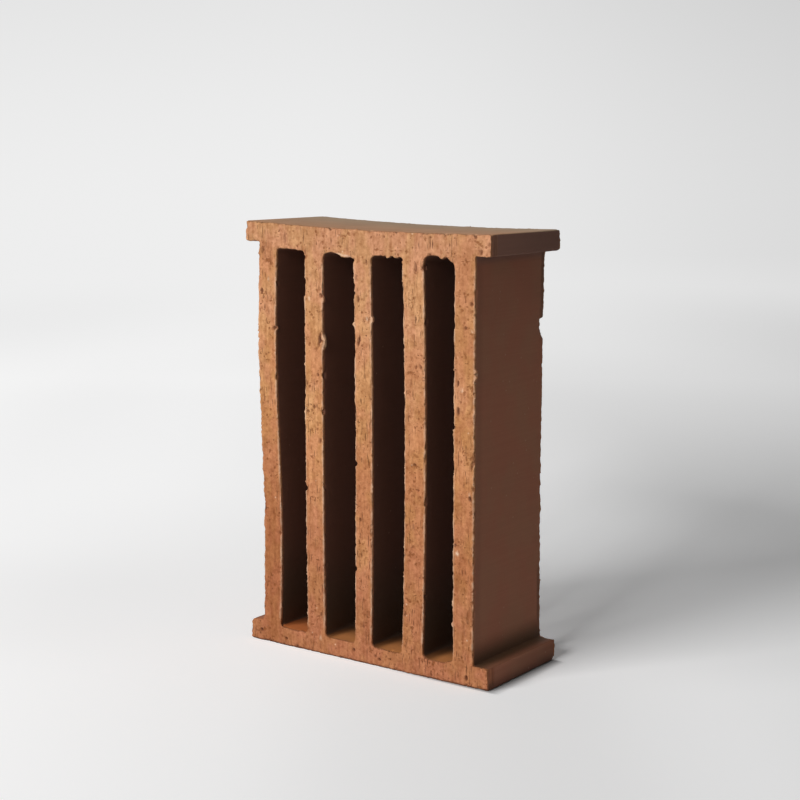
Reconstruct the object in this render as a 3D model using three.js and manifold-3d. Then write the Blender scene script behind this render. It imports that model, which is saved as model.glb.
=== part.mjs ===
// Slotted clay brick, fired in one piece. A column of clay is pushed through a
// die with four cores and cut to length with wires, so every slot runs straight
// through and both cut faces are flat. The soft section settles before it is
// fired: its top sags, its webs belly and its end walls bend a little.
//
// Millimetres, +Z up. X runs across the slots and Y along the extrusion. The
// origin lies under the middle of the foot, on the level the brick stands on.

import * as THREE from 'three';
import { mergeVertices } from 'three/addons/utils/BufferGeometryUtils.js';
import Module from 'manifold-3d';

const { lerp, clamp } = THREE.MathUtils;

// ---------------------------------------------------------------- sizes

// The whole brick
const WIDTH = 150; // across the flanges
const DEPTH = 63; // between the two wire cuts
const HEIGHT = 220; // as the die makes it, before the top settles

// Flanges: the plates at the top and foot that stand out past the end walls
const TOP_FLANGE = 10.6; // thickness
const FOOT_FLANGE = 11.2;
const RECESS = 8.5; // how far the end walls are set back from the flange ends
const FLANGE_ROUND = 2.2; // rounding of the flange ends
const ROOT_FILLET = 1.6; // where the end walls meet the flanges
const LEFT_SHELF_RISE = 1.4; // the foot's left shelf climbs towards its wall
const LEFT_SHELF_ROUND = 4.4; // and its end is rounded off more than the others

// The top has settled into a shallow curve that lifts towards its left end
const TOP_SAG = 1.5; // its lowest place, below the die's height
const TOP_LIFT = 3.0; // its left end, above the lowest place
const SAG_OFFSET = 35; // the lowest place, to the right of the middle

// The plate that closes the slots below
const FLOOR = 9.7;

// End walls
const WALL = 12.1; // thickness
const LEFT_WALL_WAVE = 1.35; // it bends in above the foot and out below the top
const RIGHT_WALL_BOW = 0.9; // it bows in half way up, at the rear cut

// Webs between the slots, from left to right: how thick each is, how far it has
// drifted from an even spacing, and how far it bellies to the right half way up
const WEBS = [
  { thickness: 11.8, drift: -0.4, belly: -0.4 },
  { thickness: 10.8, drift: 0.3, belly: 0.8 },
  { thickness: 12.7, drift: 0.6, belly: 1.6 },
];

// Slots, from left to right: how much clay is over the roof, how far the roof
// falls from left to right, and the rounding of its left and right corner and
// of both corners of the floor
const SLOTS = [
  { cover: 12.5, fall: 0.3, roofLeft: 1.4, roofRight: 2.4, floor: 2.2 },
  { cover: 13.2, fall: 2.0, roofLeft: 3.2, roofRight: 1.6, floor: 2.6 },
  { cover: 12.2, fall: 0.2, roofLeft: 2.6, roofRight: 1.6, floor: 2.6 },
  { cover: 10.9, fall: 0.4, roofLeft: 4.2, roofRight: 6.0, floor: 3.4 },
];

// A chip broken out of the rear arris of the right wall. It starts in a step and
// runs out below.
const CHIP_DROP = 46; // the step, below the die's height
const CHIP_TALL = 10; // from the step to where it runs out
const CHIP_CROWN = 0.8; // how far it hollows out above the step's edge
const CHIP_BITE = 2.7; // into the wall's face
const CHIP_REACH = 4.0; // along the wall from the rear cut

// How finely the curves are cut into straight runs
const CORNER_STEPS = 5;
const RUN_STEPS = 12;

// The most of a run that the rounding at either of its ends may take up
const ROUND_SHARE = 0.45;

const clay = new THREE.MeshStandardMaterial({ color: 0xc07d54, roughness: 0.92, metalness: 0 });

// ------------------------------------------------------- settled shape

const flangeEnd = WIDTH / 2;
const wallFace = flangeEnd - RECESS;
const rearCut = DEPTH / 2;

const topAt = (x) => {
  const toLeftEnd = flangeEnd + SAG_OFFSET;
  return HEIGHT - TOP_SAG + TOP_LIFT * ((x - SAG_OFFSET) / toLeftEnd) ** 2;
};
const overhangAt = (x) => topAt(x) - TOP_FLANGE;

// Share of the way up between the flanges, from 0 on the foot to 1 at the top
const climb = (z) => clamp((z - FOOT_FLANGE) / (overhangAt(SAG_OFFSET) - FOOT_FLANGE), 0, 1);
const bellied = (z) => 4 * climb(z) * (1 - climb(z));
const waved = (z) => Math.sin(2 * Math.PI * climb(z));

// End walls and webs, from left to right. Each is a strip of even thickness
// whose two faces, as functions of height, follow its bent centre line.
function strip(thickness, centre) {
  return {
    left: (z) => centre(z) - thickness / 2,
    right: (z) => centre(z) + thickness / 2,
  };
}

function uprights() {
  const room = 2 * (wallFace - WALL);
  const slotWidth = (room - WEBS.reduce((sum, web) => sum + web.thickness, 0)) / (WEBS.length + 1);
  const strips = [strip(WALL, (z) => -wallFace + WALL / 2 + LEFT_WALL_WAVE * waved(z))];
  let edge = -wallFace + WALL;
  for (const { thickness, drift, belly } of WEBS) {
    const middle = edge + slotWidth + thickness / 2 + drift;
    strips.push(strip(thickness, (z) => middle + belly * bellied(z)));
    edge += slotWidth + thickness;
  }
  strips.push(strip(WALL, () => wallFace - WALL / 2));
  return strips;
}

// ------------------------------------------------------- outlines

// Ways to get from one corner to the next
const straight = (a, b) => (t) => a.clone().lerp(b, t);
const alongFace = (face) => (a, b) => (t) => {
  const z = lerp(a.y, b.y, t);
  return new THREE.Vector2(face(z), z);
};
const alongTop = (a, b) => (t) => {
  const x = lerp(a.x, b.x, t);
  return new THREE.Vector2(x, topAt(x));
};

const corner = (x, z, round, way = straight) => ({ at: new THREE.Vector2(x, z), round, way });

// Draws a closed outline through corners, each rounded off by its own radius
// as far as the runs beside it have room for
function drawOutline(path, corners) {
  const after = (i) => (i + 1) % corners.length;
  const before = (i) => (i + corners.length - 1) % corners.length;
  const lengths = corners.map(({ at }, i) => at.distanceTo(corners[after(i)].at));
  const rounds = corners.map(({ round }, i) => {
    const shorter = Math.min(lengths[i], lengths[before(i)]);
    return Math.min(round, ROUND_SHARE * shorter);
  });
  const runs = corners.map(({ at, way }, i) => {
    const pointAt = way(at, corners[after(i)].at);
    const start = rounds[i] / lengths[i];
    const end = 1 - rounds[after(i)] / lengths[i];
    return { pointAt, start, end, steps: way === straight ? 1 : RUN_STEPS };
  });

  const first = runs[0].pointAt(runs[0].start);
  path.moveTo(first.x, first.y);
  runs.forEach(({ pointAt, start, end, steps }, i) => {
    for (let step = 1; step <= steps; step++) {
      const point = pointAt(lerp(start, end, step / steps));
      path.lineTo(point.x, point.y);
    }
    const turn = corners[after(i)].at;
    const next = runs[after(i)];
    const landing = next.pointAt(next.start);
    path.quadraticCurveTo(turn.x, turn.y, landing.x, landing.y);
  });
  return path;
}

function slotOutline({ cover, fall, roofLeft, roofRight, floor }, leftStrip, rightStrip) {
  const middle = (leftStrip.right(FLOOR) + rightStrip.left(FLOOR)) / 2;
  const roof = topAt(middle) - cover;
  const highSide = roof + fall / 2;
  const lowSide = roof - fall / 2;
  return drawOutline(new THREE.Path(), [
    corner(leftStrip.right(FLOOR), FLOOR, floor),
    corner(rightStrip.left(FLOOR), FLOOR, floor, alongFace(rightStrip.left)),
    corner(rightStrip.left(lowSide), lowSide, roofRight),
    corner(leftStrip.right(highSide), highSide, roofLeft, alongFace(leftStrip.right)),
  ]);
}

function sectionOutline() {
  const strips = uprights();
  const leftWall = strips[0];
  const rightWall = strips[strips.length - 1];
  const leftShelf = FOOT_FLANGE + LEFT_SHELF_RISE;
  const leftOverhang = overhangAt(-flangeEnd);
  const rightOverhang = overhangAt(flangeEnd);

  const section = drawOutline(new THREE.Shape(), [
    corner(-flangeEnd, 0, FLANGE_ROUND),
    corner(flangeEnd, 0, FLANGE_ROUND),
    corner(flangeEnd, FOOT_FLANGE, FLANGE_ROUND),
    corner(rightWall.right(FOOT_FLANGE), FOOT_FLANGE, ROOT_FILLET, alongFace(rightWall.right)),
    corner(rightWall.right(rightOverhang), rightOverhang, ROOT_FILLET),
    corner(flangeEnd, rightOverhang, FLANGE_ROUND),
    corner(flangeEnd, topAt(flangeEnd), FLANGE_ROUND, alongTop),
    corner(-flangeEnd, topAt(-flangeEnd), FLANGE_ROUND),
    corner(-flangeEnd, leftOverhang, FLANGE_ROUND),
    corner(leftWall.left(leftOverhang), leftOverhang, ROOT_FILLET, alongFace(leftWall.left)),
    corner(leftWall.left(leftShelf), leftShelf, ROOT_FILLET),
    corner(-flangeEnd, FOOT_FLANGE, LEFT_SHELF_ROUND),
  ]);
  section.holes = SLOTS.map((slot, i) => slotOutline(slot, strips[i], strips[i + 1]));
  return section;
}

// ------------------------------------------------------- the column

// The section pushed out along Y, from the front cut to the rear cut
function extrudeColumn() {
  const column = new THREE.ExtrudeGeometry(sectionOutline(), {
    depth: DEPTH,
    curveSegments: CORNER_STEPS,
    bevelEnabled: false,
  });
  return column.rotateX(Math.PI / 2).translate(0, rearCut, 0);
}

// Bows the right end wall inwards, not at all at the front cut and fully at the
// rear one, with both of its faces moving together
function bowRightWall(column) {
  const strips = uprights();
  const spots = column.attributes.position;
  for (let i = 0; i < spots.count; i++) {
    const z = spots.getZ(i);
    const slotMiddle = (strips.at(-2).right(z) + strips.at(-1).left(z)) / 2;
    if (spots.getX(i) < slotMiddle) continue;
    const towardsRear = (spots.getY(i) + rearCut) / DEPTH;
    spots.setX(i, spots.getX(i) - RIGHT_WALL_BOW * towardsRear * bellied(z));
  }
  return column;
}

// A blunt faceted lump with a low crown, in the place where the clay has broken away
function chipLump() {
  const lump = new THREE.IcosahedronGeometry(1, 1);
  const spots = lump.attributes.position;
  for (let i = 0; i < spots.count; i++) {
    const z = spots.getZ(i);
    spots.setZ(i, z * (z > 0 ? CHIP_CROWN : CHIP_TALL));
  }
  const step = HEIGHT - CHIP_DROP;
  return lump
    .scale(CHIP_BITE, CHIP_REACH, 1)
    .translate(wallFace - RIGHT_WALL_BOW * bellied(step), rearCut, step);
}

// ------------------------------------------------------- cutting

const wasm = await Module();
wasm.setup();

function toSolid(geometry) {
  const bare = geometry.clone();
  bare.deleteAttribute('normal');
  bare.deleteAttribute('uv');
  const merged = mergeVertices(bare);
  return new wasm.Manifold(new wasm.Mesh({
    numProp: 3,
    vertProperties: Float32Array.from(merged.attributes.position.array),
    triVerts: Uint32Array.from(merged.index.array),
  }));
}

function toGeometry(solid) {
  const mesh = solid.getMesh();
  const geometry = new THREE.BufferGeometry();
  geometry.setAttribute('position', new THREE.BufferAttribute(mesh.vertProperties, 3));
  geometry.setIndex(new THREE.BufferAttribute(mesh.triVerts, 1));
  geometry.computeVertexNormals();
  return geometry;
}

// ------------------------------------------------------- the brick

const column = bowRightWall(extrudeColumn());
const brick = new THREE.Mesh(toGeometry(toSolid(column).subtract(toSolid(chipLump()))), clay);
brick.name = 'clay_brick';

const model = new THREE.Group();
model.add(brick);

export default model;
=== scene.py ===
import math

import bmesh
import bpy
import numpy as np
from bpy.props import FloatProperty, FloatVectorProperty, IntProperty, PointerProperty
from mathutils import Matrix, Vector
from mathutils.kdtree import KDTree


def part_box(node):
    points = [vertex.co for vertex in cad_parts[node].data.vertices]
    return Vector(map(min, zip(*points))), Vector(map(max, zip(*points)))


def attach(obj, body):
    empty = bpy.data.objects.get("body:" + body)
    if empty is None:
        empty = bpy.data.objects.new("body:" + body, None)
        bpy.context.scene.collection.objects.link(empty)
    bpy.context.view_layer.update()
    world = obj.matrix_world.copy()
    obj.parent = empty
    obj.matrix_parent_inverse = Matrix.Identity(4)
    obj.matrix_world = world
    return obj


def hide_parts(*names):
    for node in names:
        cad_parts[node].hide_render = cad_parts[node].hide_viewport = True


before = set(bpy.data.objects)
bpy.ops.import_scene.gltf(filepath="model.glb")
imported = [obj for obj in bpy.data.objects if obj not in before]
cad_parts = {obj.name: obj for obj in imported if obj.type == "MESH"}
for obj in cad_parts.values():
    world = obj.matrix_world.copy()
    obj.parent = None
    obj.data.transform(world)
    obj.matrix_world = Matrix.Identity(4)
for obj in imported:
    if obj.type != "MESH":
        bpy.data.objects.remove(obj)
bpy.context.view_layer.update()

bl_info = {
    "name": "Slotted Clay Brick",
    "version": (1, 0, 0),
    "blender": (4, 5, 0),
    "location": "View3D > Sidebar > Clay Brick",
    "description": "Builds an extruded clay brick with wire-cut faces and drawn sides",
    "category": "Object",
}

MM = 0.001
NODE = "clay_brick"
LOW, HIGH = (Vector(corner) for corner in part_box(NODE))
CUT = HIGH.y  # the wire cuts lie at y = -CUT and y = +CUT
CUT_REACH = 3.0 * MM  # how far behind a wire cut its marks and its fine mesh reach
ARRIS_REACH = 8.0 * MM  # how far from an arris the distance to it still counts
WEIGHT_STEPS = 40  # how finely vertex groups are stored
WALL_TRIANGLES = 36000  # how many triangles are kept for the drawn walls
SLOT_ZONE = (60, 8, 212)  # the slots lie this near the middle and between these heights, in mm

# The camera's place and direction, in m, and its lens, in mm
CAMERA_PLACE = (0.49165, -0.67175, 0.26002)
CAMERA_LOOK = (-0.58354, 0.79757, -0.15289)
CAMERA_LENS = 74.43
CAMERA_TURN = math.radians(36.19)

# The ground's width and depth, how far it lies back, and the backdrop's rise and bend, in m
GROUND_SIZE = (9, 5.5)
GROUND_BACK = 0.35
BACKDROP_RISE = 3
BACKDROP_BEND = 1.3

# Where the lamps stand: how far away, in m, and the side lamp's size, turn and rise
KEY_AWAY = 2.2
SIDE_AWAY = 1.6
SIDE_SIZE = (1.0, 1.0)
SIDE_TURN = math.radians(-82)
SIDE_RISE = math.radians(20)

# Places on the front cut: across and up, half width and half height, all in mm, lean in
# degrees, and then how deep a dent is in mm, or how strong a mark is from 0 to 1
DENTS = (
    (-67.6, 6.1, 1.1, 0.9, 0, 1.2),
    (-50.6, 4.3, 1.0, 0.7, 0, 1.1),
    (-6.0, 6.2, 0.9, 0.9, 0, 1.1),
    (7.6, 5.5, 0.8, 0.7, 0, 0.9),
    (10.2, 4.1, 1.2, 0.7, 15, 1.0),
    (62.6, 4.6, 0.9, 1.5, 0, 1.2),
    (-27.0, 163.2, 0.6, 4.2, 10, 1.5),
    (-2.0, 164.3, 0.6, 3.2, 13, 1.3),
    (-5.6, 102.7, 1.2, 1.4, 0, 1.1),
    (-37.4, 86.3, 1.2, 1.3, 0, 1.1),
    (56.9, 148.1, 0.55, 1.8, 5, 1.1),
    (57.0, 134.7, 0.55, 2.6, 0, 1.2),
    (64.4, 93.3, 0.7, 1.7, 0, 1.2),
    (32.6, 154.0, 0.6, 1.3, 15, 0.8),
    (35.2, 154.4, 0.6, 1.5, -25, 0.9),
    (36.8, 202.1, 1.1, 1.8, 20, 1.3),
    (-56.6, 167.3, 0.9, 1.0, 0, 1.1),
    (2.6, 203.0, 0.6, 1.5, 0, 0.9),
    (-26.0, 185.3, 0.8, 1.2, 0, 1.0),
    (-63.8, 206.7, 0.7, 1.6, 0, 0.9),
    (-64.6, 185.8, 0.8, 1.8, 0, 1.0),
    (-30.8, 128.9, 0.8, 1.2, 0, 0.9),
    (-2.5, 184.9, 0.6, 1.8, 0, 0.9),
    (32.2, 201.8, 0.6, 2.8, 0, 0.9),
    (-34.6, 126.3, 0.8, 0.9, 0, 0.9),
    (64.4, 186.1, 0.8, 1.1, 0, 0.9),
    (61.0, 174.7, 0.9, 1.0, 0, 0.9),
    (31.6, 106.1, 1.0, 0.8, 0, 0.9),
    (-1.6, 74.4, 0.8, 1.0, 0, 0.9),
    (-26.9, 111.8, 0.7, 1.6, 0, 0.9),
    (55.8, 69.5, 0.9, 0.8, 0, 0.9),
    (-28.2, 145.4, 0.8, 0.9, 0, 0.9),
    (-49.0, 213.3, 0.5, 3.2, 0, 0.8),
    (40.4, 214.7, 0.5, 3.0, 0, 0.8),
    (69.6, 210.5, 0.9, 1.4, 0, 0.9),
    (67.6, 11.9, 0.8, 0.8, 0, 0.9),
)
CROWDS = (
    (34.0, 104.1, 4.5, 8.0, 0, 1.0),
    (63.4, 177.0, 4.5, 7.5, 0, 1.0),
    (40.0, 214.3, 6.0, 3.5, 0, 1.0),
    (62.0, 205.4, 5.0, 4.0, 0, 1.0),
    (33.0, 75.8, 4.5, 7.0, 0, 0.9),
    (54.0, 208.2, 4.5, 4.0, 0, 0.9),
    (58.6, 73.7, 4.5, 6.5, 0, 0.9),
    (61.0, 54.4, 4.5, 6.0, 0, 0.8),
)
PALE_MARKS = (
    (57.0, 65.6, 1.0, 1.0, 0, 1.0),
    (-33.2, 183.9, 0.8, 0.8, 0, 0.9),
    (59.3, 145.0, 0.7, 0.8, 0, 0.8),
    (3.2, 175.6, 0.7, 0.7, 0, 0.7),
    (-59.8, 192.1, 0.7, 0.7, 0, 0.6),
    (-27.8, 8.5, 0.8, 0.7, 0, 0.6),
    (63.8, 95.1, 0.6, 0.7, 0, 0.6),
    (65.0, 173.3, 0.7, 0.6, 0, 0.6),
    (-24.0, 162.3, 1.0, 3.9, -12, 0.45),
    (-11.4, 206.0, 0.6, 5.6, 101, 0.8),
    (67.8, 153.0, 1.6, 0.7, 0, 0.4),
    (15.5, 205.2, 0.9, 0.9, 0, 0.4),
    (20.4, 205.4, 0.9, 0.9, 0, 0.4),
)

# Patches of the front cut that are darker, below 0, or lighter, above 0
TONE_PATCHES = (
    (-60.5, 40.0, 9.0, 52.0, 0, -1.0),
    (60.5, 184.0, 9.0, 40.0, 0, -1.0),
    (61.0, 125.0, 8.0, 10.0, 0, -0.6),
    (61.0, 57.0, 8.0, 10.0, 0, -0.7),
    (-62.0, 200.0, 9.0, 13.0, 0, -0.9),
    (30.0, 160.0, 8.0, 15.0, 0, -0.4),
    (-31.0, 102.0, 8.5, 42.0, 0, 0.9),
    (-1.0, 56.0, 8.5, 15.0, 0, 0.7),
)

# Corners of the flanges, and roots beside them, that are sharper than the solid's: across,
# up and the radius, in mm, and the share of it that is left at the front cut and the rear
SHARP_CORNERS = (
    (75.0, 11.2, 2.2, 0.45, 0.35),
    (75.0, 0.0, 2.2, 0.6, 1.0),
    (66.5, 11.2, 1.6, 0.25, 0.25),
    (75.0, 218.9, 2.2, 0.45, 0.9),
    (75.0, 208.3, 2.2, 0.45, 0.8),
    (66.5, 208.3, 1.6, 0.3, 0.5),
    (-75.0, 221.5, 2.2, 0.5, 0.8),
    (-75.0, 210.9, 2.2, 0.5, 0.8),
    (-66.5, 210.9, 1.6, 0.5, 0.6),
    (-75.0, 0.0, 2.2, 0.6, 0.8),
)
CORNER_BLEND = 3.0  # how far beyond its radius a sharpened corner still pulls, in mm

# The rear arris of the right wall is cleaner below its chip: the heights between which
# that sets in, from below and from above, in mm, and how much of its wear is missing
CLEAN_FROM = (112, 122)
CLEAN_UP_TO = (170, 162)
CLEAN_SHARE = 0.7

# Where the slots whose floors get a painted shadow along their left walls begin, in mm across
SHADED_SLOTS = (-25.0, 5.8, 38.0)

# Lips and nicks of the front arrises: across and up, half width and half height, and how
# far they're pushed across and up, all in mm
LIPS = (
    (-24.2, 162.1, 2.0, 4.2, 1.5, 0.0),
    (-69.4, 165.4, 2.0, 1.4, -0.8, 0.0),
    (-54.6, 166.9, 1.8, 1.3, 0.8, 0.0),
    (-37.2, 183.7, 1.8, 1.4, -0.8, 0.0),
    (-25.0, 183.3, 1.8, 1.4, 0.8, 0.0),
    (-6.0, 172.5, 1.8, 1.3, -1.2, 0.0),
    (6.0, 175.3, 1.8, 1.6, 1.0, 0.0),
    (67.2, 152.9, 2.2, 2.6, 1.1, 0.0),
    (54.0, 30.0, 1.8, 1.2, -0.8, 0.0),
    (15.5, 206.0, 1.3, 1.8, 0.0, -0.7),
    (17.9, 206.4, 1.1, 1.4, 0.0, 0.4),
    (20.4, 206.0, 1.6, 1.8, 0.0, -0.6),
    (52.0, 10.4, 2.6, 2.2, 0.0, 1.1),
    (-19.0, 205.2, 4.2, 1.8, 0.0, 1.2),
    (-11.4, 204.4, 3.4, 1.8, 0.0, -0.8),
    (-36.6, 86.3, 1.8, 1.4, 0.8, 0.0),
    (-4.8, 102.7, 1.8, 1.4, 0.9, 0.0),
    (38.4, 201.8, 1.8, 1.8, -1.2, 0.0),
    (47.0, 206.6, 2.4, 2.0, 0.0, -1.2),
    (51.2, 205.4, 2.4, 2.2, 0.0, -1.3),
)


# ---------- settings


def length(name, description, default):
    """A setting for a length, in metres."""
    return FloatProperty(
        name=name,
        description=description,
        default=default,
        min=0,
        subtype="DISTANCE",
        unit="LENGTH",
        precision=5,
    )


def clay_colour(name, description, default):
    """A setting for a colour, as linear red, green and blue."""
    return FloatVectorProperty(
        name=name, description=description, default=default, subtype="COLOR", min=0, max=1
    )


class ClaySizes(bpy.types.PropertyGroup):
    voxel: length("Mesh size", "Spacing of the mesh that carries the relief", 0.6 * MM)
    triangles: IntProperty(
        name="Triangles",
        description="How many triangles the finished brick has at most",
        default=196000,
        min=20000,
    )
    waves: length("Waves", "Depth of the slow waves in the wire-cut faces", 0.35 * MM)
    drag: length("Drag marks", "Depth of the marks that the wire drags down the cuts", 0.14 * MM)
    pits: length("Pits", "Depth of the pits in the wire-cut faces", 0.9 * MM)
    ragged: length("Ragged arris", "How far the arrises of the wire cuts wander", 0.66 * MM)
    torn: length("Torn arris", "Depth of the larger tears along the arrises", 1.1 * MM)
    crumbs: length("Crumbs", "Height of the crumbs that stick to the arrises", 0.7 * MM)
    wander: length("Wandering arris", "How far the arrises drift in and out", 0.9 * MM)
    worn: length("Worn arris", "Wear of the arrises on the two side walls", 1.3 * MM)
    frayed: length("Frayed arris", "Size of the finest roughness of the arrises", 0.6 * MM)
    worn_foot: length("Worn foot", "How far the lower arrises are worn back", 0.9 * MM)
    skin_waves: length("Skin waves", "Depth of the slow waves in the drawn skin", 0.4 * MM)


class ClayColours(bpy.types.PropertyGroup):
    pale: clay_colour("Pale clay", "Fired clay near the top of the brick", (0.58, 0.272, 0.127))
    middle: clay_colour("Middle clay", "Fired clay halfway up the brick", (0.515, 0.216, 0.079))
    deep: clay_colour("Deep clay", "Fired clay near the foot of the brick", (0.445, 0.167, 0.071))
    drawn: clay_colour("Drawn skin", "Skin that the die leaves on the sides", (0.373, 0.150, 0.084))
    # This colour is painted shade: the slots' skin is made darker than the clay so that they look
    # shaded
    slots: clay_colour("Slot skin", "Skin inside the slots", (0.17, 0.072, 0.044))
    floors: clay_colour("Slot floors", "Skin on the floors and the foot", (0.44, 0.135, 0.038))
    # Partly dust and partly a painted sheen, as a grazing gloss gives on the top
    dust_and_sheen: clay_colour("Dusty bed", "Pale, dusty skin on top of the brick", (0.60, 0.365, 0.225))
    # Greyer skin, also painted darker as shade
    greyed_shaded_top: clay_colour("Sooty ends", "Greyed ends of the top flange", (0.222, 0.108, 0.075))
    # Painted shade: this dark colour stands for the shade in the corner over the foot and on the
    # right shelf of the foot, and it also darkens the side walls along their rear arris
    painted_shade: clay_colour("Shade", "Shading in the corners over the foot", (0.062, 0.031, 0.012))
    # Partly painted shade, where it darkens hollows and dents
    tear: clay_colour("Tears", "Dark bottoms of tears and pits", (0.095, 0.026, 0.009))
    rust: clay_colour("Rust", "Small red-brown spots in the cut clay", (0.22, 0.066, 0.016))
    grog: clay_colour("Grog", "Pale grains of crushed fired clay", (0.82, 0.56, 0.38))


class StageLight(bpy.types.PropertyGroup):
    key: FloatProperty(
        name="Key lamp",
        description="Power of the key lamp",
        default=46,
        subtype="POWER",
        unit="POWER",
    )
    key_turn: FloatProperty(
        name="Key direction",
        description="Angle of the key lamp to the left of the brick's front",
        default=math.radians(10),
        subtype="ANGLE",
        unit="ROTATION",
    )
    key_rise: FloatProperty(
        name="Key rise",
        description="Angle of the key lamp above the floor",
        default=math.radians(26),
        subtype="ANGLE",
        unit="ROTATION",
    )
    key_wide: length("Key width", "Width of the key lamp, a long soft panel", 1.6)
    key_tall: length("Key height", "Height of the key lamp's panel", 0.5)
    side: FloatProperty(
        name="Side lamp",
        description="Power of the broad lamp to the right, which only just opens up the shade",
        default=0.5,
        subtype="POWER",
        unit="POWER",
    )
    room: FloatProperty(
        name="Room light",
        description="Strength of the even light from all round",
        default=0.05,
    )
    ground: clay_colour("Ground", "Colour of the floor and backdrop", (0.62, 0.62, 0.62))
    seen_ground: clay_colour("Seen ground", "Floor as it is seen", (0.955, 0.955, 0.955))


# ---------- modelling


def deselect_all():
    bpy.ops.object.select_all(action="DESELECT")


def make_active(piece):
    """Selects one piece alone, for the operators that follow."""
    deselect_all()
    piece.select_set(True)
    bpy.context.view_layer.objects.active = piece


def copy_node(name, piece_name):
    """A copy of a node's mesh with its loose triangles merged, as a piece of its own."""
    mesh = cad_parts[name].data.copy()
    mesh.materials.clear()
    piece = bpy.data.objects.new(piece_name, mesh)
    bpy.context.collection.objects.link(piece)
    make_active(piece)
    bpy.ops.object.mode_set(mode="EDIT")
    bpy.ops.mesh.select_all(action="SELECT")
    bpy.ops.mesh.remove_doubles(threshold=0.001 * MM)
    bpy.ops.object.mode_set(mode="OBJECT")
    return piece


def apply_modifier(piece, kind, **settings):
    """Adds one modifier with its settings and applies it."""
    make_active(piece)
    modifier = piece.modifiers.new(kind.title(), kind)
    for name, value in settings.items():
        setattr(modifier, name, value)
    bpy.ops.object.modifier_apply(modifier=modifier.name)


def spots_of(piece):
    """Where the mesh's vertices are, as an array of rows."""
    spots = np.empty(len(piece.data.vertices) * 3)
    piece.data.vertices.foreach_get("co", spots)
    return spots.reshape(-1, 3)


def move_to(piece, spots):
    """Puts the mesh's vertices at new spots."""
    piece.data.vertices.foreach_set("co", spots.ravel())
    piece.data.update()


def normals_of(piece):
    """Which way the surface faces at each vertex."""
    normals = np.empty(len(piece.data.vertices) * 3)
    piece.data.vertices.foreach_get("normal", normals)
    return normals.reshape(-1, 3)


def depth_of(spots):
    """How far each spot lies behind the nearer of the two wire cuts."""
    return CUT - np.abs(spots[:, 1])


def ramp(low, high, value):
    """Rises smoothly from 0 at low to 1 at high, or falls where low is above high."""
    share = np.clip((value - low) / (high - low), 0, 1)
    return share * share * (3 - 2 * share)


def arris_tree(piece):
    """The lines where the wire cuts meet the other faces, as points for measuring to."""
    mesh = bmesh.new()
    mesh.from_mesh(piece.data)
    points = []
    for edge in mesh.edges:
        # An arris has a wire cut on one side, which faces along Y, and a drawn face beside it
        tilts = sorted(abs(face.normal.y) for face in edge.link_faces)
        if tilts[0] > 0.5 or tilts[-1] < 0.9:
            continue
        start, end = (vertex.co.copy() for vertex in edge.verts)
        steps = max(1, math.ceil((end - start).length / (0.4 * MM)))
        points += [start.lerp(end, step / steps) for step in range(steps)]
    mesh.free()
    tree = KDTree(len(points))
    for index, point in enumerate(points):
        tree.insert(point, index)
    tree.balance()
    return tree


def arris_distance(spots, tree):
    """How far each spot is from the nearest arris, up to the reach of the arrises."""
    distance = np.full(len(spots), ARRIS_REACH)
    for index in np.flatnonzero(depth_of(spots) < ARRIS_REACH):
        distance[index] = min(ARRIS_REACH, tree.find(spots[index])[2])
    return distance


def weigh(piece, name, weights):
    """Stores weights from 0 to 1 as a vertex group, in even steps."""
    if name in piece.vertex_groups:
        piece.vertex_groups.remove(piece.vertex_groups[name])
    group = piece.vertex_groups.new(name=name)
    steps = np.rint(np.clip(weights, 0, 1) * WEIGHT_STEPS).astype(int)
    for step in range(1, WEIGHT_STEPS + 1):
        members = np.flatnonzero(steps == step)
        if len(members):
            group.add(members.tolist(), step / WEIGHT_STEPS, "REPLACE")


# ---------- relief


def clouds(name, depth=1, band=None):
    """A soft noise, or where a band is given, only its peaks between those two levels."""
    texture = bpy.data.textures.new(name, "CLOUDS")
    texture.noise_scale = 1
    texture.noise_depth = depth
    texture.noise_basis = "IMPROVED_PERLIN"
    if band:
        texture.use_color_ramp = True
        first, last = texture.color_ramp.elements[0], texture.color_ramp.elements[1]
        first.position, last.position = band
        first.color = (0, 0, 0, 1)
        last.color = (1, 1, 1, 1)
    return texture


def press(piece, texture, strength, group, level, stretch, place=(0, 0, 0)):
    """Pushes the surface out or in by a texture, as far as a group allows. Its stretch and
    place are in mm, and the level is the tone that leaves the surface where it is."""
    guide = bpy.data.objects.new(texture.name + "_guide", None)
    guide.scale = [share * MM for share in stretch]
    guide.location = [shift * MM for shift in place]
    bpy.context.collection.objects.link(guide)
    bpy.context.view_layer.update()
    apply_modifier(
        piece,
        "DISPLACE",
        texture=texture,
        texture_coords="OBJECT",
        texture_coords_object=guide,
        strength=strength,
        mid_level=level,
        vertex_group=group,
    )
    bpy.data.objects.remove(guide)


def push(piece, name, weights, strength, direction):
    """Moves the surface straight along one axis, as far as the weights say."""
    weigh(piece, name, weights)
    apply_modifier(
        piece, "DISPLACE", strength=strength, mid_level=0, direction=direction, vertex_group=name
    )


def around(spots, across, up, half_wide, half_tall, lean=0.0):
    """1 at a place on the front cut, falling to 0 round it, for spots near that cut."""
    turn = math.radians(lean)
    right = spots[:, 0] / MM - across
    above = spots[:, 2] / MM - up
    wide = (right * math.cos(turn) - above * math.sin(turn)) / half_wide
    tall = (right * math.sin(turn) + above * math.cos(turn)) / half_tall
    near_cut = ramp(-CUT + CUT_REACH, -CUT + 1.8 * MM, spots[:, 1])
    return ramp(1.25, 0.5, np.hypot(wide, tall)) * near_cut


def marks(spots, rows):
    """The strongest of some marks at each spot, as the last number of its row says."""
    front = np.flatnonzero(spots[:, 1] < -CUT + CUT_REACH)
    strengths = np.zeros(len(spots))
    for *place, strength in rows:
        strengths[front] = np.maximum(strengths[front], around(spots[front], *place) * strength)
    return strengths


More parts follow.
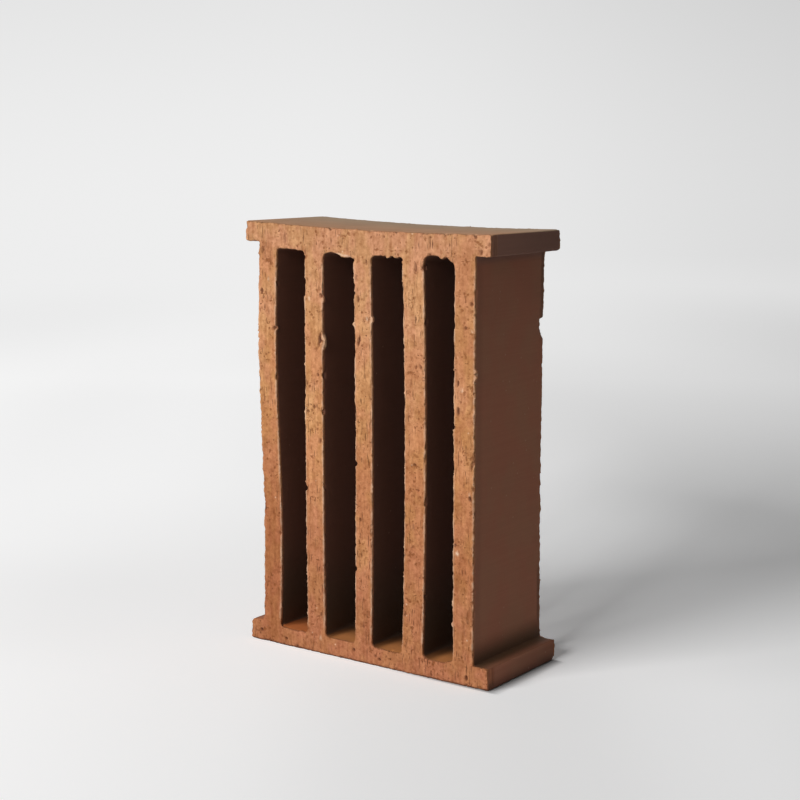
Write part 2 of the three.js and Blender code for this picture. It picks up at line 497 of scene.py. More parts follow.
class CLAYBRICK_OT_body(bpy.types.Operator):
    """Builds the fired brick: settled form, torn arrises, pitted cut faces, drawn sides"""

    bl_idname = "claybrick.body"
    bl_label = "Brick"

    def execute(self, context):
        sizes = context.scene.clay_sizes
        piece = copy_node(NODE, "clay_brick_fired")
        tree = arris_tree(piece)
        apply_modifier(
            piece, "REMESH", mode="VOXEL", voxel_size=sizes.voxel, use_smooth_shade=True
        )
        self.sharpen_flanges(piece)
        self.group_bands(piece, tree)
        self.press_faces(piece, sizes)
        self.tear_arrises(piece, sizes)
        self.mark_front(piece)
        self.keep_in_box(piece)
        self.thin_out(piece, sizes.triangles)
        self.keep_in_box(piece)
        piece.vertex_groups.clear()
        self.note_surface(piece, tree)
        piece.data.materials.append(FiredClay(context.scene.clay_colours).finish())
        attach(piece, "root")
        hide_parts(NODE)
        return {"FINISHED"}

    @staticmethod
    def sharpen_flanges(piece):
        """Gathers the roundings and roots of the flanges towards their corners."""
        spots = spots_of(piece)
        rearward = (spots[:, 1] + CUT) / (2 * CUT)
        for across, up, radius, front, rear in SHARP_CORNERS:
            beside = spots[:, 0] / MM - across
            above = spots[:, 2] / MM - up
            reach = radius + CORNER_BLEND
            hold = ramp(reach, radius, np.abs(beside)) * ramp(reach, radius, np.abs(above))
            pull = (1 - front - (rear - front) * rearward) * hold * MM
            spots[:, 0] -= np.clip(beside, -radius, radius) * pull
            spots[:, 2] -= np.clip(above, -radius, radius) * pull
        move_to(piece, spots)

    @staticmethod
    def group_bands(piece, tree):
        """Groups the cut faces, the drawn skin, and the bands along the arrises, where the
        weights fall with the distance in mm."""
        spots = spots_of(piece)
        depth = depth_of(spots)
        near = arris_distance(spots, tree)
        across, up = spots[:, 0] / MM, spots[:, 2] / MM
        between = ramp(*CLEAN_FROM, up) * ramp(*CLEAN_UP_TO, up)
        rough = 1 - CLEAN_SHARE * (between * (across > 60) * (spots[:, 1] > 0))
        outer = np.abs(across) > 60
        weigh(piece, "cut_face", ramp(0.9 * MM, 0.5 * MM, depth))
        weigh(piece, "arris", ramp(2.2 * MM, 0.4 * MM, near) * rough)
        weigh(piece, "wide_arris", ramp(4.0 * MM, 0.6 * MM, near) * rough)
        weigh(piece, "outer_arris", ramp(2.6 * MM, 0.6 * MM, near) * outer * rough)
        weigh(piece, "drawn", ramp(1.5 * MM, 5.0 * MM, depth))

    @staticmethod
    def press_faces(piece, sizes):
        """The drawn skin's unevenness, then the waves, drag marks and pits of the cuts."""
        press(piece, clouds("skin_waves", 2), sizes.skin_waves, "drawn", 0.5, (14, 50, 14))
        press(piece, clouds("cut_waves", 2), sizes.waves, "cut_face", 0.9, (9, 9, 14))
        press(piece, clouds("drag", 2), sizes.drag, "cut_face", 0.7, (1.1, 2, 6))
        pits = clouds("pits", 1, (0.66, 0.78))
        press(piece, pits, -sizes.pits, "cut_face", 0, (1.3, 3, 2.4), (10, 20, 30))

    @staticmethod
    def tear_arrises(piece, sizes):
        """Arrises that wander all along, with tears, crumbs and a worn lower one."""
        press(piece, clouds("ragged"), sizes.ragged, "arris", 0.6, (3.0, 3.0, 4.5))
        press(piece, clouds("wander"), sizes.wander, "arris", 0.5, (7, 7, 9), (20, 20, 0))
        worn, frayed = clouds("worn"), clouds("frayed")
        press(piece, worn, sizes.worn, "outer_arris", 0.58, (2.6, 2.6, 3.4), (1, 2, 30))
        press(piece, frayed, sizes.frayed, "arris", 0.55, (1.4, 1.4, 1.7), (7, 3, 5))
        torn, crumbs = clouds("torn", 1, (0.64, 0.78)), clouds("crumbs", 1, (0.66, 0.80))
        press(piece, torn, -sizes.torn, "wide_arris", 0, (4.5, 4.5, 6), (50, 0, 10))
        press(piece, crumbs, sizes.crumbs, "arris", 0, (1.8, 1.8, 2.2), (30, 40, 0))
        spots = spots_of(piece)
        low = ramp(1.5 * MM, 0.2 * MM, spots[:, 2]) * ramp(1.6 * MM, 0.4 * MM, depth_of(spots))
        push(piece, "worn_front", low * (spots[:, 1] < 0), sizes.worn_foot, "Y")
        push(piece, "worn_rear", low * (spots[:, 1] > 0), -sizes.worn_foot, "Y")

    @staticmethod
    def mark_front(piece):
        """The dents, lips and nicks that have a place of their own on the front cut."""
        deepest = max(dent[-1] for dent in DENTS)
        push(piece, "dents", marks(spots_of(piece), DENTS) / deepest, deepest * MM, "Y")
        for axis, column in (("X", 4), ("Z", 5)):
            for sign in (-1, 1):
                rows = [(*lip[:4], 0, lip[column] * sign) for lip in LIPS if lip[column] * sign > 0]
                farthest = max(row[-1] for row in rows)
                weights = marks(spots_of(piece), rows) / farthest
                push(piece, "lips", weights, sign * farthest * MM, axis)

    @staticmethod
    def keep_in_box(piece):
        """Presses flat whatever stands out past the brick's own length, width and depth."""
        move_to(piece, np.clip(spots_of(piece), LOW, HIGH))

    @staticmethod
    def thin_out(piece, triangles):
        """Spends few triangles on the drawn walls and most of them on the cut faces."""
        apply_modifier(piece, "TRIANGULATE")
        total = len(piece.data.polygons)
        walls = depth_of(spots_of(piece)) > CUT_REACH
        weigh(piece, "walls", walls)
        kept = total - np.count_nonzero(walls) * 2 + WALL_TRIANGLES
        apply_modifier(piece, "DECIMATE", ratio=kept / total, vertex_group="walls")
        total = len(piece.data.polygons)
        if total > triangles:
            weigh(piece, "faces", depth_of(spots_of(piece)) < CUT_REACH)
            apply_modifier(piece, "DECIMATE", ratio=triangles / total, vertex_group="faces")

    @staticmethod
    def patch_tone_of(spots):
        """How much lighter or darker the listed patches make each spot, from 1 down to -1."""
        lighter = [row for row in TONE_PATCHES if row[-1] > 0]
        darker = [(*row[:5], -row[-1]) for row in TONE_PATCHES if row[-1] < 0]
        return marks(spots, lighter) - marks(spots, darker)

    def note_surface(self, piece, tree):
        """Notes on each vertex where it lies, for the material: on a cut or an arris, in a pit or a
        dent, which get painted shade, in a slot, in a mark of its own, or facing up."""
        spots = spots_of(piece)
        normals = normals_of(piece)
        depth = depth_of(spots)
        cut = ramp(1.6 * MM, 0.9 * MM, depth)
        sunk = ramp(0.45 * MM, 1.1 * MM, depth) * cut
        across, up = np.abs(spots[:, 0]) / MM, spots[:, 2] / MM
        inner, low, high = SLOT_ZONE
        notes = {
            "cut": cut,
            # Hollows and dents are darkened in the material as painted shade
            "hollow_shade": sunk * ramp(0.2, 0.6, np.abs(normals[:, 1])),
            "dent_shade": np.minimum(marks(spots, DENTS), 1),
            "crowd": marks(spots, CROWDS),
            "pale": marks(spots, PALE_MARKS),
            "patch_tone": self.patch_tone_of(spots),
            "arris": ramp(1.3 * MM, 0.1 * MM, arris_distance(spots, tree)),
            "slot": ramp(0.8 * MM, 2.2 * MM, depth) * (across < inner) * (up > low) * (up < high),
            "skyward": ramp(0.45, 0.85, normals[:, 2]),
        }
        for name, values in notes.items():
            note = piece.data.attributes.new(name, "FLOAT", "POINT")
            note.data.foreach_set("value", values.astype(np.float32))


# ---------- finishes


class Nodes:
    """Adds and wires the nodes of one material, or of the room."""

    def __init__(self, material):
        material.use_nodes = True
        self.tree = material.node_tree
        self.tree.nodes.clear()

    def add(self, kind, links=None, **settings):
        """Adds a node, sets it up, and links or sets its sockets."""
        node = self.tree.nodes.new(kind)
        for name, value in settings.items():
            setattr(node, name, value)
        for name, value in (links or {}).items():
            self.feed(node.inputs[name], value)
        return node

    def feed(self, socket, value):
        """Links an output to a socket, or sets the socket to a number or colour."""
        if isinstance(value, bpy.types.NodeSocket):
            self.tree.links.new(value, socket)
        elif socket.type == "RGBA":
            socket.default_value = (*value[:3], 1)
        else:
            socket.default_value = value

    def coords(self, stretch=(1, 1, 1), place=(0, 0, 0), turn=0.0):
        """Object coordinates in millimetres, divided by a stretch along each axis."""
        source = self.add("ShaderNodeTexCoord").outputs["Object"]
        scale = tuple(1 / (MM * share) for share in stretch)
        mapping = self.add(
            "ShaderNodeMapping",
            {"Vector": source, "Scale": scale, "Location": place, "Rotation": (0, 0, turn)},
        )
        return mapping.outputs["Vector"]

    def axes(self, unit=1, turn=0.0):
        """Object coordinates along X, Y and Z, in a unit given in millimetres."""
        spot = self.coords((unit, unit, unit), turn=turn)
        split = self.add("ShaderNodeSeparateXYZ", {"Vector": spot})
        return split.outputs["X"], split.outputs["Y"], split.outputs["Z"]

    def noise(self, stretch, place=(0, 0, 0), detail=2.0, roughness=0.5):
        """Noise whose features are about as large as the stretch, in millimetres."""
        links = {
            "Vector": self.coords(stretch, place),
            "Scale": 1.0,
            "Detail": detail,
            "Roughness": roughness,
        }
        return self.add("ShaderNodeTexNoise", links).outputs["Fac"]

    def grains(self, stretch, chosen, inner, outer, place=(0, 0, 0)):
        """Round spots in a share of the cells of a scattered pattern."""
        cells = self.add(
            "ShaderNodeTexVoronoi",
            {"Vector": self.coords(stretch, place), "Scale": 1.0, "Randomness": 1.0},
        )
        tone = self.add("ShaderNodeSeparateColor", {"Color": cells.outputs["Color"]})
        pick = self.math("LESS_THAN", tone.outputs["Red"], chosen)
        return self.times(self.span(cells.outputs["Distance"], outer, inner), pick)

    def span(self, value, low, high, out_low=0.0, out_high=1.0, smooth=True):
        """Goes from one number to another while a value goes from low to high."""
        node = self.add(
            "ShaderNodeMapRange",
            {
                "Value": value,
                "From Min": low,
                "From Max": high,
                "To Min": out_low,
                "To Max": out_high,
            },
            interpolation_type="SMOOTHSTEP" if smooth else "LINEAR",
        )
        return node.outputs["Result"]

    def math(self, operation, first, *others):
        """Chains one operation over all its values."""
        for other in others:
            node = self.add("ShaderNodeMath", operation=operation)
            self.feed(node.inputs[0], first)
            self.feed(node.inputs[1], other)
            first = node.outputs["Value"]
        return first

    def times(self, first, *others):
        """Multiplies all its values."""
        return self.math("MULTIPLY", first, *others)

    def shares(self, pairs):
        """Each value times its share."""
        return [self.times(value, share) for value, share in pairs]

    def mix(self, factor, first, second, blend="MIX"):
        """Goes from a first colour to a second."""
        node = self.add("ShaderNodeMix", data_type="RGBA", blend_type=blend)
        for socket in node.inputs:
            if socket.name == "Factor" and socket.type == "VALUE":
                self.feed(socket, factor)
            elif socket.type == "RGBA":
                self.feed(socket, first if socket.name == "A" else second)
        return next(socket for socket in node.outputs if socket.type == "RGBA")

    def tint(self, colour, factor, low, high):
        """Multiplies a colour by something between a low and a high tint."""
        return self.mix(1.0, colour, self.mix(factor, low, high), "MULTIPLY")

    def scale(self, colour, amount):
        """Makes a colour lighter or darker by an amount."""
        node = self.add("ShaderNodeVectorMath", operation="SCALE")
        self.feed(node.inputs["Vector"], colour)
        self.feed(node.inputs["Scale"], amount)
        return node.outputs["Vector"]

    def note(self, name):
        """What the piece's vertices note under a name."""
        return self.add("ShaderNodeAttribute", attribute_name=name).outputs["Fac"]


class FiredClay(Nodes):
    """Unglazed fired clay: torn and speckled where the wire has cut it, smoother where the
    die has drawn it."""

    def __init__(self, colours):
        self.material = bpy.data.materials.new("Fired clay")
        super().__init__(self.material)
        self.colours = colours
        self.across, self.along, self.height = self.axes()
        self.off_middle = self.math("ABSOLUTE", self.across, 0.0)
        self.cut, self.arris = self.note("cut"), self.note("arris")
        self.patches = self.noise((24, 24, 34), detail=3)
        self.streaks = self.noise((1.6, 1.6, 15.0), (9, 0, 2), 2, 0.5)
        self.grit = self.noise((1.45, 1.45, 1.5), (2, 5, 3), 1, 0.6)
        self.torn = self.torn_spots()
        self.hairs = self.hairlines()
        self.pores = self.open_pores()

    def finish(self):
        """The whole material, from the clay under it to the pale marks on top."""
        colour = self.mix(self.cut, self.drawn_skin(), self.clay_body())
        colour = self.mix(self.times(self.torn, 0.72), colour, self.colours.rust)
        colour = self.mix(self.dark_marks(), colour, self.colours.tear)
        colour = self.mix(self.pale_marks(), colour, self.colours.grog)
        shader = self.add(
            "ShaderNodeBsdfPrincipled",
            {
                "Base Color": colour,
                "Roughness": self.span(self.cut, 0, 1, 0.70, 0.92),
                "Specular IOR Level": 0.2,
                "Normal": self.fine_relief(),
            },
        )
        self.add("ShaderNodeOutputMaterial", {"Surface": shader.outputs["BSDF"]})
        return self.material

    def clay_body(self):
        """Cut clay: redder and darker towards the foot, with slow patches, ochre and salmon."""
        level = self.math(
            "ADD",
            self.height,
            self.span(self.patches, 0.3, 0.7, -22, 22),
            self.span(self.across, -75, 75, -14, 12),
        )
        # The darkening towards the foot is partly the clay's own colour and partly painted shade,
        # for the lamp's light falling off down the front
        deep_to_middle = self.span(level, 25, 125, smooth=False)
        body = self.mix(deep_to_middle, self.colours.deep, self.colours.middle)
        body = self.mix(self.span(level, 105, 185, smooth=False), body, self.colours.pale)
        hue = self.span(self.noise((7, 7, 12), (4, 2, 1), 1, 0.5), 0.36, 0.64)
        body = self.tint(body, hue, (1.02, 0.98, 1.03), (0.98, 1.005, 0.93))
        body = self.tint(body, self.mottling(), (0.62, 0.53, 0.44), (1.29, 1.41, 1.58))
        # Painted shade along the foot's lower arris, darkest at the floor
        body = self.scale(body, self.span(self.height, 0.1, 1.2, 0.62, 1.0))
        body = self.scale(body, self.span(self.height, 200, 213, 1.0, 0.92))
        patch_tone = self.span(self.note("patch_tone"), -1, 1, smooth=False)
        return self.tint(body, patch_tone, (0.86, 0.79, 0.70), (1.14, 1.21, 1.30))

    def mottling(self):
        """Mottling and grit, drawn out in streaks along the wire's path."""
        mottle = self.noise((3.0, 3.0, 3.0), (0, 0, 0), 2, 0.55)
        tones = ((mottle, 0.85), (self.streaks, 0.85), (self.grit, 0.80))
        middle = 0.55
        level = middle - sum(share for tone, share in tones) / 2
        return self.math("ADD", *self.shares(tones), level)

    def drawn_skin(self):
        """All that the die has drawn, with its fine lines along the brick's depth."""
        plain = self.wall_skin()
        on_flange = self.math(
            "MAXIMUM",
            self.span(self.height, 9, 12, 1.0, 0.0),
            self.span(self.height, 208, 210, 0.0, 1.0),
            self.span(self.off_middle, 71, 73),
        )
        skin = self.mix(on_flange, self.recess_painted_shade(plain), self.flange_ends(plain))
        skin = self.mix(self.note("slot"), skin, self.slot_painted_shade())
        skin = self.mix(self.note("skyward"), skin, self.upper_faces())
        return self.scale(skin, self.span(self.noise((0.9, 40, 0.9)), 0.3, 0.7, 0.98, 1.02))

    def wall_skin(self):
        """Slightly uneven skin, with painted shade high up under the top flange, darker beside the
        front arris, and greyer on the top flange, where it is also painted darker as shade."""
        clouding = self.span(self.noise((16, 22, 26), (3, 1, 4), 3), 0.35, 0.65)
        skin = self.tint(self.colours.drawn, clouding, (1.02, 0.96, 0.96), (0.98, 1.04, 1.03))
        # Painted shade high up, under the top flange
        shade = self.times(
            self.span(self.height, 130, 206, 1.0, 0.84),
            self.span(self.along, -27, -23, 0.9, 1.0),
        )
        # The top flange is greyer and painted darker as shade
        greyed_shaded_top = self.span(self.height, 203, 208)
        return self.mix(greyed_shaded_top, self.scale(skin, shade), self.colours.greyed_shaded_top)

    def recess_painted_shade(self, skin):
        """Painted shade just over the foot, in the same dark colour that also runs along the rear
        arris of each side wall.
        """
        rear_edge = self.times(
            self.span(self.along, 26.5, 28.5, 0.0, 0.55),
            self.span(self.off_middle, 60, 63),
            self.math("MAXIMUM", self.span(self.height, 55, 40), self.span(self.height, 160, 172)),
        )
        # Painted shade in the corner just over the foot
        over_foot = self.span(self.height, 12, 25, 0.92, 0.0)
        return self.mix(self.math("MAXIMUM", over_foot, rear_edge), skin, self.colours.painted_shade)

    def flange_ends(self, skin):
        """Ends with painted shade low down by the floor, darker to the rear, browner and streaked
        at the front arris.
        """
        # Painted shade low down by the floor
        shade = self.times(
            self.span(self.height, 0.3, 7, 0.42, 0.98),
            self.span(self.height, 8, 10, 1.0, 1.17),
            self.span(self.along, -32, 32, 1.0, 0.70),
        )
        beside_arris = self.span(self.along, -26.5, -24.5, 1.0, 0.0)
        rubbed = self.span(self.noise((60, 1.2, 9), (4, 4, 4), 1), 0.3, 0.7, -0.22, 0.22)
        rubbed = self.times(rubbed, beside_arris)
        ends = self.tint(skin, beside_arris, (1.0, 1.0, 1.0), (1.0, 0.93, 0.80))
        return self.scale(ends, self.math("ADD", shade, rubbed))

    def slot_painted_shade(self):
        """Skin inside the slots, painted dark as shade, and darker still low down and to the right.
        """
        low_down = self.span(self.height, 60, 20)
        skin = self.tint(self.colours.slots, low_down, (1, 1, 1), (0.82, 1.06, 1.0))
        shade = self.times(
            self.span(self.height, 12, 70, 0.62, 1.0),
            self.span(self.across, -50, 50, 1.03, 0.76),
        )
        return self.scale(skin, shade)

    def upper_faces(self):
        """The slots' floors, the shelves of the foot on either side, and the pale bed on top."""
        within = self.span(self.off_middle, 60, 64, 1.0, 0.0)
        floors = self.mix(within, self.foot_shelves(), self.slot_floors())
        return self.mix(self.span(self.height, 80, 120), floors, self.dust_and_sheen_bed())

    def slot_floors(self):
        """Floors with painted light near the front and painted shade further in, and a painted
        shadow of the left wall along some slots' floors.
        """
        # Painted light near the front of the floors and painted shade further in
        light = self.math("MINIMUM", self.span(self.along, -31, -6, 1.5, 0.34), 1.28)
        for left in SHADED_SLOTS:
            # Painted shadow of the slot's left wall on its floor
            wall_shadow = self.times(
                self.span(self.across, left - 2, left - 1, 0.0, 0.62),
                self.span(self.across, left + 0.8, left + 6.5, 1.0, 0.0),
            )
            light = self.times(light, self.math("SUBTRACT", 1.0, wall_shadow))
        browner = self.span(self.across, -38, -28)
        skin = self.tint(self.colours.floors, browner, (1.10, 1.05, 1.10), (1.05, 1.32, 1.5))
        return self.scale(skin, light)

    def foot_shelves(self):
        """The foot's upper sides beyond the walls, with painted shade on the right."""
        # Painted shade on the right shelf of the foot
        painted_shade = self.span(self.off_middle, 68.5, 75, 0.9, 0.25)
        left = self.scale(self.colours.drawn, 0.95)
        right = self.mix(painted_shade, self.scale(self.colours.drawn, 0.78), self.colours.painted_shade)
        return self.mix(self.span(self.across, -60, 60), left, right)

    def dust_and_sheen_bed(self):
        """Pale bed on top, partly dust and partly a painted sheen, yellower towards the front cut.
        """
        rearward = self.span(self.along, -31, 31, smooth=False)
        # The paler top is partly dust and partly a painted sheen
        bed = self.tint(self.colours.dust_and_sheen, rearward, (1.08, 0.93, 0.82), (0.90, 1.06, 1.15))
        dust = self.noise((18, 18, 18), (2, 8, 2), 2)
        return self.scale(bed, self.span(dust, 0.35, 0.65, 0.96, 1.04))

    def torn_spots(self):
        """Torn red-brown spots of the cuts, most of them in crowds."""
        crowd = self.span(self.noise((7, 10, 11), (5, 0, 1), 1), 0.45, 0.60, 0.15, 1.0)
        crowd = self.math("MAXIMUM", crowd, self.note("crowd"))
        blots = self.span(self.noise((2.5, 2.5, 2.5), (3, 7, 5), 2, 0.55), 0.60, 0.70)
        dashes = self.span(self.noise((1.4, 1.5, 5.0), (6, 2, 9), 1), 0.67, 0.77)
        ledges = self.span(self.noise((3.8, 1.5, 1.4), (2, 9, 4), 1), 0.66, 0.76)
        dots = self.grains((2.4, 2.4, 2.4), 0.30, 0.14, 0.40)
        spots = self.math("MAXIMUM", blots, dashes, ledges, dots)
        return self.times(spots, crowd, self.cut)

    def hairlines(self):
        """Hairline tears of the cuts, down the wire's path."""
        hairs = self.span(self.noise((0.55, 1.5, 6.0), (1, 4, 6), 0), 0.68, 0.76)
        return self.times(hairs, self.cut, self.span(self.patches, 0.40, 0.56))

    def open_pores(self):
        """Small dark pores of the cuts."""
        pores = self.span(self.noise((1.1, 1.3, 1.5), (3, 1, 7), 1), 0.715, 0.77)
        return self.times(pores, self.cut)

    def dark_marks(self):
        """Dark bottoms of tears, pores, hollows and dents, partly painted shade, and the burr of
        the rear arrises.
        """
        rear = self.span(self.along, 25, 28)
        burr = self.times(self.arris, rear, self.span(self.cut, 1.0, 0.4))
        dark = (
            (burr, 0.45),
            (self.hairs, 0.7),
            (self.pores, 0.85),
            (self.note("hollow_shade"), 0.85),
            (self.note("dent_shade"), 0.8),
        )
        return self.math("MAXIMUM", *self.shares(dark))

    def pale_marks(self):
        """Pale grog, and a painted highlight along the upright arrises, as on a burr that catches
        the light.
        """
        speck = self.grains((3.0, 3.0, 3.0), 0.03, 0.06, 0.22)
        speck = self.times(speck, self.span(self.cut, 0, 1, 0.15, 0.6))
        # Painted highlight along the arrises
        lip = self.span(self.noise((1.8, 1.8, 5.0), (8, 8, 1)), 0.36, 0.60, 0.25, 0.7)
        above_foot = self.span(self.height, 12, 18)
        below_top = self.span(self.height, 199, 205, 1.0, 0.0)
        lip = self.times(lip, self.arris, self.times(above_foot, below_top))
        return self.math("MAXIMUM", speck, lip, self.note("pale"))

    def fine_relief(self):
        """Relief too fine for the mesh."""
        relief = self.math("ADD", self.grit, self.times(self.streaks, 0.8))
        relief = self.times(relief, self.span(self.cut, 0, 1, 0.22, 1.0))
        tears = self.math("MAXIMUM", self.hairs, self.pores)
        relief = self.math("SUBTRACT", relief, *self.shares(((tears, 1.2), (self.torn, 0.9))))
        links = {"Height": relief, "Distance": 0.30 * MM, "Strength": 0.8}
        return self.add("ShaderNodeBump", links).outputs["Normal"]


# How far from the brick the ground's own tones fade into the backdrop's, in m
NEAR_GROUND = (0.8, 2.4)

# Painted light and shade on the ground, in slow patches: how much lighter, then where each begins
# and is full, in m
GROUND_TONES = (
    (
        0.055,
        ("along", 0.12, 0.45),
        ("along", 1.3, 0.9),
        ("across", -0.36, -0.16),
        ("across", 0.02, -0.1),
    ),
    (-0.035, ("along", -0.06, 0.05), ("along", 0.25, 0.10), ("across", -0.08, -0.2)),
    (0.055, ("along", 0.0, -0.08), ("across", 0.08, 0.16)),
    (-0.035, ("along", 0.0, -0.06), ("across", -0.08, -0.01), ("across", 0.12, 0.05)),
    # This row is a painted shadow: it deepens the brick's shadow on the ground to the right
    (-0.085, ("along", 0.02, 0.28), ("along", 0.95, 0.42), ("across", 0.1, 0.24)),
)


def seen_or_mirrored(nodes):
    """1 where something is seen directly or in a gloss, and 0 where it only gives light."""
    path = nodes.add("ShaderNodeLightPath")
    return nodes.math("MAXIMUM", path.outputs["Is Camera Ray"], path.outputs["Is Glossy Ray"])


class PaleGround(Nodes):
    """Seamless pale ground that keeps the brick's shadow. Seen directly or in a gloss it is
    lifted towards white, a little less to the right and up the backdrop."""

    def __init__(self, light):
        self.material = bpy.data.materials.new("Ground")
        super().__init__(self.material)
        self.light = light
        self.across, self.along, self.up = self.axes(1000)
        away = self.add(
            "ShaderNodeVectorMath", {0: self.coords((1000, 1000, 1000))}, operation="LENGTH"
        )
        self.away = away.outputs["Value"]
        self.near = self.span(self.away, *NEAR_GROUND, 1.0, 0.0)

    def finish(self):
        """Plain paper for the light that it throws back, and lifted paper where it is seen."""
        contact = self.contact_shade()
        level = self.times(self.lift(), self.math("SUBTRACT", 1.0, contact))
        lit = self.mix(self.near, (0, 0, 0), self.light.seen_ground)
        lit = self.scale(lit, self.math("SUBTRACT", 1.0, self.times(contact, 0.5)))
        glow = self.add("ShaderNodeEmission", {"Strength": level})
        seen = self.add("ShaderNodeAddShader")
        self.feed(seen.inputs[0], self.add("ShaderNodeBsdfDiffuse", {"Color": lit}).outputs["BSDF"])
        self.feed(seen.inputs[1], glow.outputs["Emission"])
        plain = self.add("ShaderNodeBsdfDiffuse", {"Color": self.light.ground})
        mix = self.add("ShaderNodeMixShader")
        self.feed(mix.inputs[0], seen_or_mirrored(self))
        self.feed(mix.inputs[1], plain.outputs["BSDF"])
        self.feed(mix.inputs[2], seen.outputs["Shader"])
        self.add("ShaderNodeOutputMaterial", {"Surface": mix.outputs["Shader"]})
        return self.material

    def lift(self):
        """How far the ground is lifted towards white: near the brick, and up the backdrop."""
        near_level = self.math(
            "ADD",
            self.span(self.across, -1, 1, 0.31, -0.016, smooth=False),
            self.span(self.along, -1, 1, -0.2, 0.236, smooth=False),
        )
        for amount, *edges in GROUND_TONES:
            near_level = self.math("ADD", near_level, self.tone(amount, edges))
        near_level = self.math("MAXIMUM", near_level, 0.0)
        far_level = self.math(
            "ADD",
            self.span(self.across, -0.3, 1.2, 0.853, 0.699),
            self.span(self.up, 0.1, 1.1, 0.0, -0.137),
        )
        join = self.times(
            self.span(self.away, 0.85, 1.35, 0.0, 0.075),
            self.span(self.away, 2.4, 1.4),
            self.span(self.math("ABSOLUTE", self.across, 0.0), 0.62, 0.2),
        )
        far = self.span(self.away, *NEAR_GROUND)
        both = self.math("ADD", self.times(self.near, near_level), self.times(far, far_level))
        return self.math("ADD", both, join)

    def tone(self, amount, edges):
        """A patch that is lighter or darker by an amount, with soft edges."""
        places = {"across": self.across, "along": self.along}
        spans = [self.span(places[name], *ends) for name, *ends in edges]
        return self.times(amount, *spans)

    def contact_shade(self):
        """A narrow shade just right of the foot, measured from the brick, in mm."""
        right, behind = self.axes(1, CAMERA_TURN)[:2]
        return self.times(
            self.span(right, 75, 83, 1.0, 0.0),
            self.span(right, 0, 60),
            self.span(behind, -33, -30),
            self.span(behind, 30, 33, 1.0, 0.0),
        )


# ---------- stage


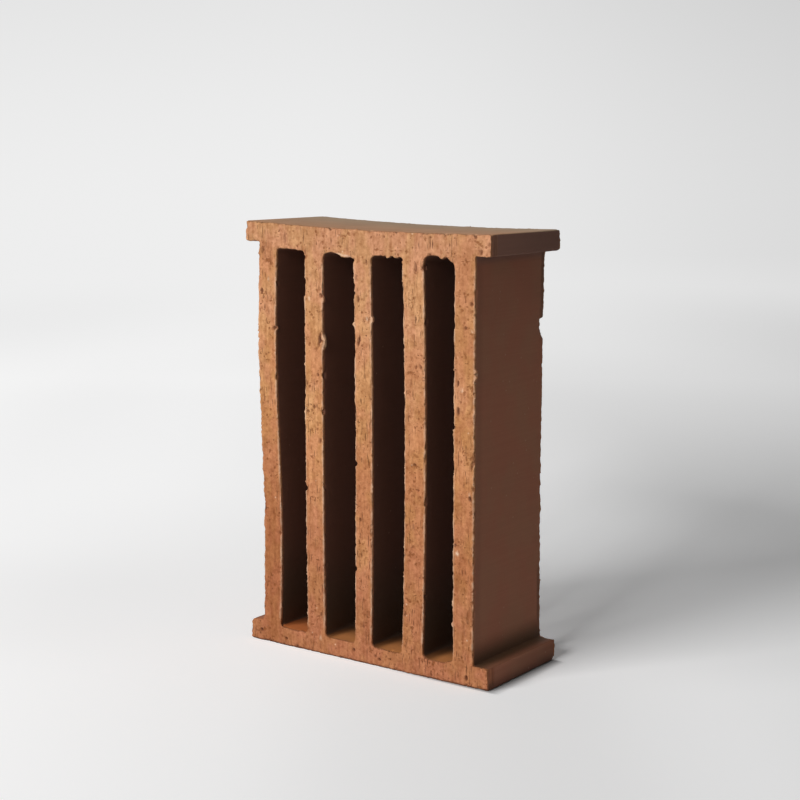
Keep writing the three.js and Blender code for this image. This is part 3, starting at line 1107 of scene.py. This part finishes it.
class CLAYBRICK_OT_stage(bpy.types.Operator):
    """Sets the brick on a seamless pale ground with a key lamp, room light and a camera"""

    bl_idname = "claybrick.stage"
    bl_label = "Stage"

    def execute(self, context):
        light = context.scene.stage_light
        self.add_ground(light)
        panel = (light.key_wide, light.key_tall)
        self.add_lamp("key", light.key, panel, light.key_turn, light.key_rise, KEY_AWAY)
        self.add_lamp("side", light.side, SIDE_SIZE, SIDE_TURN, SIDE_RISE, SIDE_AWAY)
        self.add_room(context, light)
        self.add_camera(context)
        context.scene.view_settings.view_transform = "Standard"
        return {"FINISHED"}

    @staticmethod
    def add_ground(light):
        """A floor that curves up into a backdrop behind the brick, turned to face the camera."""
        deselect_all()
        bpy.ops.mesh.primitive_plane_add(size=1, location=(0, 0, 0))
        ground = bpy.context.active_object
        ground.name = "ground"
        bpy.ops.object.mode_set(mode="EDIT")
        bpy.ops.mesh.select_all(action="SELECT")
        bpy.ops.transform.resize(value=(*GROUND_SIZE, 1))
        bpy.ops.transform.translate(value=(0, GROUND_BACK, 0))
        bpy.ops.mesh.select_all(action="DESELECT")
        sheet = bmesh.from_edit_mesh(ground.data)
        for edge in sheet.edges:
            edge.select_set(all(vertex.co.y > 1 for vertex in edge.verts))
        bmesh.update_edit_mesh(ground.data)
        rise = {"value": (0, 0, BACKDROP_RISE)}
        bpy.ops.mesh.extrude_region_move(TRANSFORM_OT_translate=rise)
        bpy.ops.mesh.select_all(action="DESELECT")
        sheet = bmesh.from_edit_mesh(ground.data)
        for edge in sheet.edges:
            edge.select_set(all(vertex.co.y > 1 and vertex.co.z < 1 for vertex in edge.verts))
        bmesh.update_edit_mesh(ground.data)
        bpy.ops.mesh.bevel(offset=BACKDROP_BEND, segments=32, profile=0.5)
        bpy.ops.mesh.select_all(action="SELECT")
        bpy.ops.mesh.normals_make_consistent(inside=True)
        bpy.ops.object.mode_set(mode="OBJECT")
        bpy.ops.object.shade_smooth()
        ground.rotation_euler.z = CAMERA_TURN
        ground.data.materials.append(PaleGround(light).finish())

    @staticmethod
    def add_lamp(name, power, size, turn, rise, away):
        """A flat lamp aimed at the brick, turned to the left of its front."""
        lamp = bpy.data.lights.new(name, "AREA")
        lamp.shape = "RECTANGLE"
        lamp.size, lamp.size_y = size
        lamp.energy = power
        holder = bpy.data.objects.new(name, lamp)
        bpy.context.collection.objects.link(holder)
        level = math.cos(rise)
        side = Vector((-math.sin(turn) * level, -math.cos(turn) * level, math.sin(rise)))
        holder.location = Vector((0, 0, HIGH.z / 2)) + away * side
        holder.rotation_euler = (-side).to_track_quat("-Z", "Y").to_euler()

    @staticmethod
    def add_room(context, light):
        """Even weak light from all round, which is seen as a pale backdrop."""
        world = bpy.data.worlds.new("Room")
        context.scene.world = world
        nodes = Nodes(world)
        strength = nodes.span(seen_or_mirrored(nodes), 0, 1, light.room, 0.80, smooth=False)
        back = nodes.add("ShaderNodeBackground", {"Color": (1, 1, 1), "Strength": strength})
        nodes.add("ShaderNodeOutputWorld", {"Surface": back.outputs["Background"]})

    @staticmethod
    def add_camera(context):
        """A long lens at the front right, a little above the brick's top."""
        lens = bpy.data.cameras.new("camera")
        lens.sensor_width = 36
        lens.lens = CAMERA_LENS
        lens.clip_end = 50
        camera = bpy.data.objects.new("camera", lens)
        bpy.context.collection.objects.link(camera)
        camera.location = CAMERA_PLACE
        camera.rotation_euler = Vector(CAMERA_LOOK).to_track_quat("-Z", "Y").to_euler()
        context.scene.camera = camera


# ---------- add-on


class CLAYBRICK_PT_panel(bpy.types.Panel):
    """Lists the brick's sizes and colours, and the steps that build it"""

    bl_label = "Clay Brick"
    bl_idname = "CLAYBRICK_PT_panel"
    bl_space_type = "VIEW_3D"
    bl_region_type = "UI"
    bl_category = "Clay Brick"

    def draw(self, context):
        scene = context.scene
        for group in (scene.clay_sizes, scene.clay_colours, scene.stage_light):
            box = self.layout.box()
            for name in group.__annotations__:
                box.prop(group, name)
        for operator in OPERATORS:
            self.layout.operator(operator.bl_idname)


OPERATORS = (CLAYBRICK_OT_body, CLAYBRICK_OT_stage)
GROUPS = {"clay_sizes": ClaySizes, "clay_colours": ClayColours, "stage_light": StageLight}


def register():
    for name, group in GROUPS.items():
        bpy.utils.register_class(group)
        setattr(bpy.types.Scene, name, PointerProperty(type=group))
    for operator in OPERATORS:
        bpy.utils.register_class(operator)
    bpy.utils.register_class(CLAYBRICK_PT_panel)


def unregister():
    bpy.utils.unregister_class(CLAYBRICK_PT_panel)
    for operator in reversed(OPERATORS):
        bpy.utils.unregister_class(operator)
    for name, group in GROUPS.items():
        delattr(bpy.types.Scene, name)
        bpy.utils.unregister_class(group)


def main():
    """Builds the brick and its stage."""
    register()
    bpy.ops.claybrick.body()
    bpy.ops.claybrick.stage()


if __name__ == "__main__":
    main()
